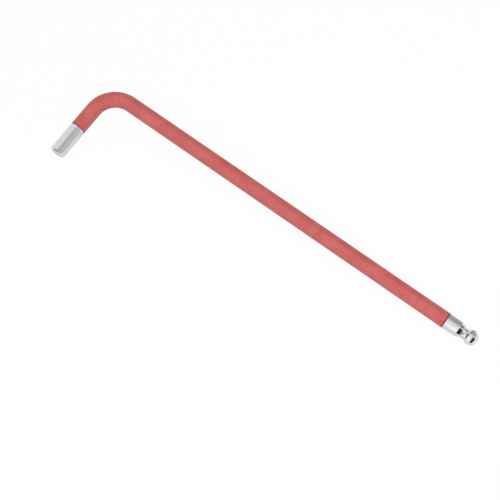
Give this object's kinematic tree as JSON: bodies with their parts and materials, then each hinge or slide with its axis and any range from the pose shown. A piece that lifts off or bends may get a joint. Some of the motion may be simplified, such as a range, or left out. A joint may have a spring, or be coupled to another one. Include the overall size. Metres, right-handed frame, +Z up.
{
  "type": "hex key",
  "caption": "Long L-shaped hex key lying flat, with a faceted ball end on its long arm, a chamfered hexagon on its short arm and a thin red coat over the bar between.",
  "frame": {"origin": "on the floor, under the middle of the key's outline as it lies flat", "axes": "+X along the long arm towards its ball end, -Y along the short arm towards its tip, +Z up"},
  "size_m": [0.1602, 0.0332, 0.0058],
  "materials": {
    "bare_steel": "satin plated steel",
    "red_coat": "satin red coat"
  },
  "bodies": {
    "root": {"bar": "bare_steel", "coat": "red_coat"}
  },
  "joints": []
}
